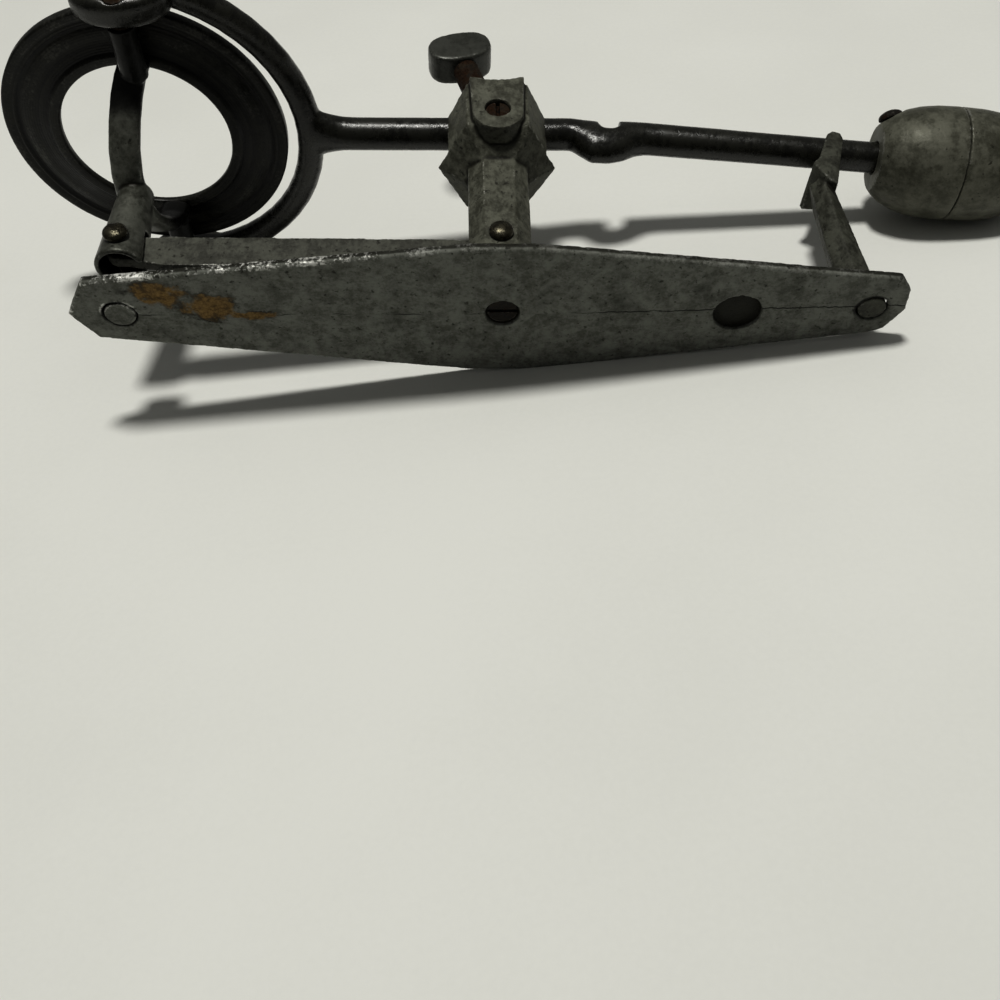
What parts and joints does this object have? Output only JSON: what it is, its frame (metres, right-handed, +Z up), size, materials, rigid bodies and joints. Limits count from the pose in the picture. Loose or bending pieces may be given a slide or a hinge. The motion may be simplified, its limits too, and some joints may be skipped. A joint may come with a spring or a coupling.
{
  "type": "egg grading balance",
  "caption": "Small cast balance that grades eggs: a pivoted beam carries a level dished ring, set against a sliding barrel weight.",
  "frame": {"origin": "underside of the base, half way along the whole object, in the middle plane", "axes": "+X from the pan towards the weight, +Z up from the base, -Y is the side with the screw heads seen first"},
  "size_m": [0.2314, 0.078, 0.0878],
  "materials": {
    "cast_zinc": "grey cast zinc alloy with dull patina",
    "beam_metal": "dark patinated cast metal",
    "pan_metal": "dark patinated cast metal, turned rings",
    "weight_metal": "grey smooth cast metal",
    "rusty_steel": "rusted steel",
    "pin_steel": "tarnished steel",
    "knob_metal": "dark smooth cast metal"
  },
  "bodies": {
    "base": {"base_plate": "cast_zinc", "centre_post": "cast_zinc", "foot_screw": "rusty_steel", "pivot_screw_near": "rusty_steel", "pivot_screw_far": "rusty_steel", "link_pin": "pin_steel", "stop_peg": "cast_zinc", "rest_post": "cast_zinc"},
    "beam": {"beam": "beam_metal", "knob_stud": "rusty_steel", "pan_screw_near": "rusty_steel", "pan_screw_far": "rusty_steel"},
    "pan": {"pan_ring": "pan_metal", "pan_bow": "pan_metal", "stem_pin": "pin_steel"},
    "check_link": {"check_link": "cast_zinc"},
    "weight": {"weight_inner": "weight_metal", "weight_outer": "weight_metal"},
    "set_screw": {"weight_set_screw": "rusty_steel"},
    "knob": {"thumb_knob": "knob_metal"}
  },
  "joints": [
    {"name": "beam_pivot", "type": "hinge", "parent": "base", "child": "beam", "pos_m": [-0.0068, 0, 0.0468], "axis": [0, -1, 0], "range_deg": [0, 3.85]},
    {"name": "pan_pivot", "type": "hinge", "parent": "beam", "child": "pan", "pos_m": [-0.0817, 0, 0.0478], "axis": [0, -1, 0], "range_deg": [-3.85, 0]},
    {"name": "check_link_pivot", "type": "hinge", "parent": "base", "child": "check_link", "pos_m": [-0.0068, 0, 0.0162], "axis": [0, -1, 0], "range_deg": [0, 3.7]},
    {"name": "weight_slide", "type": "slide", "parent": "beam", "child": "weight", "axis": [0.9929, 0, -0.1191], "range_m": [-0.004, 0.002]},
    {"name": "set_screw_turn", "type": "hinge", "parent": "weight", "child": "set_screw", "pos_m": [0.08245, -0.00463, 0.0523], "axis": [-0.2514, -0.5785, 0.776], "range_deg": [-180, 180]},
    {"name": "knob_turn", "type": "hinge", "parent": "beam", "child": "knob", "pos_m": [-0.01477, 0, 0.08218], "axis": [-0.2756, 0, 0.9613], "range_deg": [-180, 180]}
  ],
  "couplings": [
    {"joint": "pan_pivot", "follows": "beam_pivot", "ratio": -1},
    {"joint": "check_link_pivot", "follows": "beam_pivot", "ratio": 0.9615}
  ]
}
